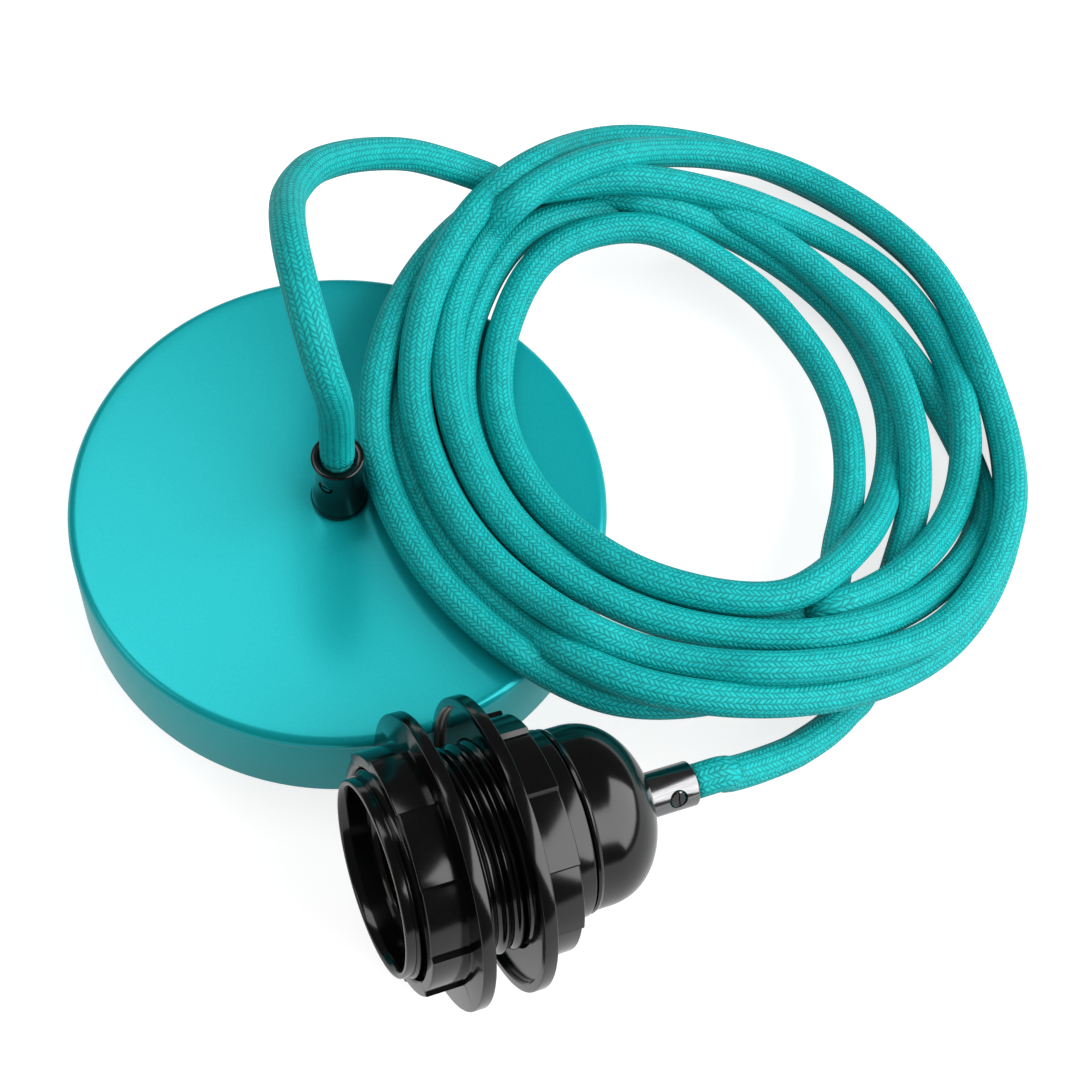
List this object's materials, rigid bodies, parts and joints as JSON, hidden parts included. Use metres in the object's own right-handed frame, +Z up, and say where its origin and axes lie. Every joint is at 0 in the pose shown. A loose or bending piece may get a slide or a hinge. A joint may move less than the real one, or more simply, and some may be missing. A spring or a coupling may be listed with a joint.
{
  "type": "pendant lamp set",
  "caption": "Pendant lamp set: painted ceiling cup, coiled fabric cord and a black screw lamp holder with two shade rings.",
  "frame": {"origin": "centre of the ceiling cup on its ceiling side, on the back of the ceiling bracket", "axes": "+Z up from the ceiling side to the cup's closed top, as the cup stands on a table; +X level along the lamp holder, from its mouth to its cord end"},
  "size_m": [0.2194, 0.1912, 0.0963],
  "materials": {
    "cup_paint": "satin",
    "cord_cloth": "woven cotton sleeve",
    "black_plastic": "polished",
    "steel": "zinc plated",
    "brass": "plain",
    "ceramic": "fired, unglazed",
    "terminal_plastic": "moulded",
    "core_brown": "smooth",
    "core_blue": "smooth",
    "core_green": "smooth"
  },
  "bodies": {
    "lamp_set": {"ceiling_cup": "cup_paint", "ceiling_bracket": "steel", "cup_side_screw_left": "steel", "cup_side_screw_right": "steel", "earth_screw": "brass", "terminal_block": "terminal_plastic", "block_fixing_screw": "steel", "rose_grip_body": "black_plastic", "rose_grip_screw": "steel", "rose_grip_nut": "steel", "cup_cord_tail": "cord_cloth", "cup_core_live": "core_brown", "cup_core_neutral": "core_blue", "cup_core_earth": "core_green", "holder_shell": "black_plastic", "holder_cap": "black_plastic", "contact_insert": "ceramic", "lamp_screw_shell": "brass", "centre_contact": "brass", "side_contact": "brass", "centre_contact_screw": "brass", "side_contact_screw": "brass", "holder_grip_body": "steel", "holder_grip_screw": "steel", "holder_grip_nut": "steel", "holder_cord_tail": "cord_cloth", "holder_core_live": "core_brown", "holder_core_neutral": "core_blue", "cord_loop": "cord_cloth", "cord_coil": "cord_cloth", "cord_tail": "cord_cloth", "pole_tube_1": "brass", "pole_screw_1_in": "brass", "pole_screw_1_out": "brass", "pole_tube_2": "brass", "pole_screw_2_in": "brass", "pole_screw_2_out": "brass", "pole_tube_3": "brass", "pole_screw_3_in": "brass", "pole_screw_3_out": "brass"},
    "front_ring": {"front_shade_ring": "black_plastic"},
    "rear_ring": {"rear_shade_ring": "black_plastic"}
  },
  "joints": [
    {"name": "front_ring_slide", "type": "slide", "parent": "lamp_set", "child": "front_ring", "axis": [0.9942, 0, -0.1077], "range_m": [-0.03, 0.004]},
    {"name": "rear_ring_slide", "type": "slide", "parent": "lamp_set", "child": "rear_ring", "axis": [0.9942, 0, -0.1077], "range_m": [-0.005, 0.0045]}
  ]
}
